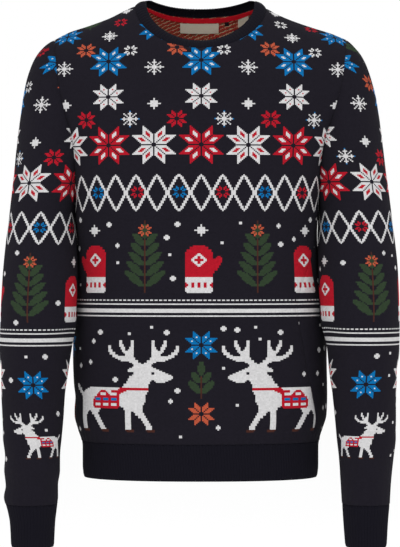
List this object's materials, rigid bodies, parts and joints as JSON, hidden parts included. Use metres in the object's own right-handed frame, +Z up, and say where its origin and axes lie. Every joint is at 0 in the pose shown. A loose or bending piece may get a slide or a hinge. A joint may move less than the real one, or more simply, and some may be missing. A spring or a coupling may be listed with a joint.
{
  "type": "christmas sweater",
  "caption": "Crew-neck knit pullover in worn form: hollow body, set-in sleeves, ribbed neckband, cuffs and hem, open at neck, hem and wrists.",
  "frame": {"origin": "between the two neck points of the shoulder seams, level with the right one (the left one is 3 mm higher), where the wearer's shoulders hold the garment", "axes": "+Z up along the body from hem to neck, -Y towards the front, +X towards the viewer's right as seen from the front"},
  "size_m": [0.5556, 0.2485, 0.7633],
  "materials": {
    "knit_navy": "fine jacquard knit, dark navy ground with coloured figures, matt",
    "rib_navy": "fine one-by-one rib knit, dark navy, matt",
    "tape_red": "narrow woven tape, red, matt",
    "label_beige": "woven label, beige, slight sheen, bare",
    "tab_dark": "folded woven tab, near black"
  },
  "bodies": {
    "root": {"front": "knit_navy", "back": "knit_navy", "sleeve_left": "knit_navy", "sleeve_right": "knit_navy", "cuff_left": "rib_navy", "cuff_right": "rib_navy", "hem_front": "rib_navy", "hem_back": "rib_navy", "neckband": "rib_navy", "neck_tape": "tape_red", "neck_label": "label_beige", "size_label": "label_beige", "size_tab": "tab_dark"}
  },
  "joints": []
}
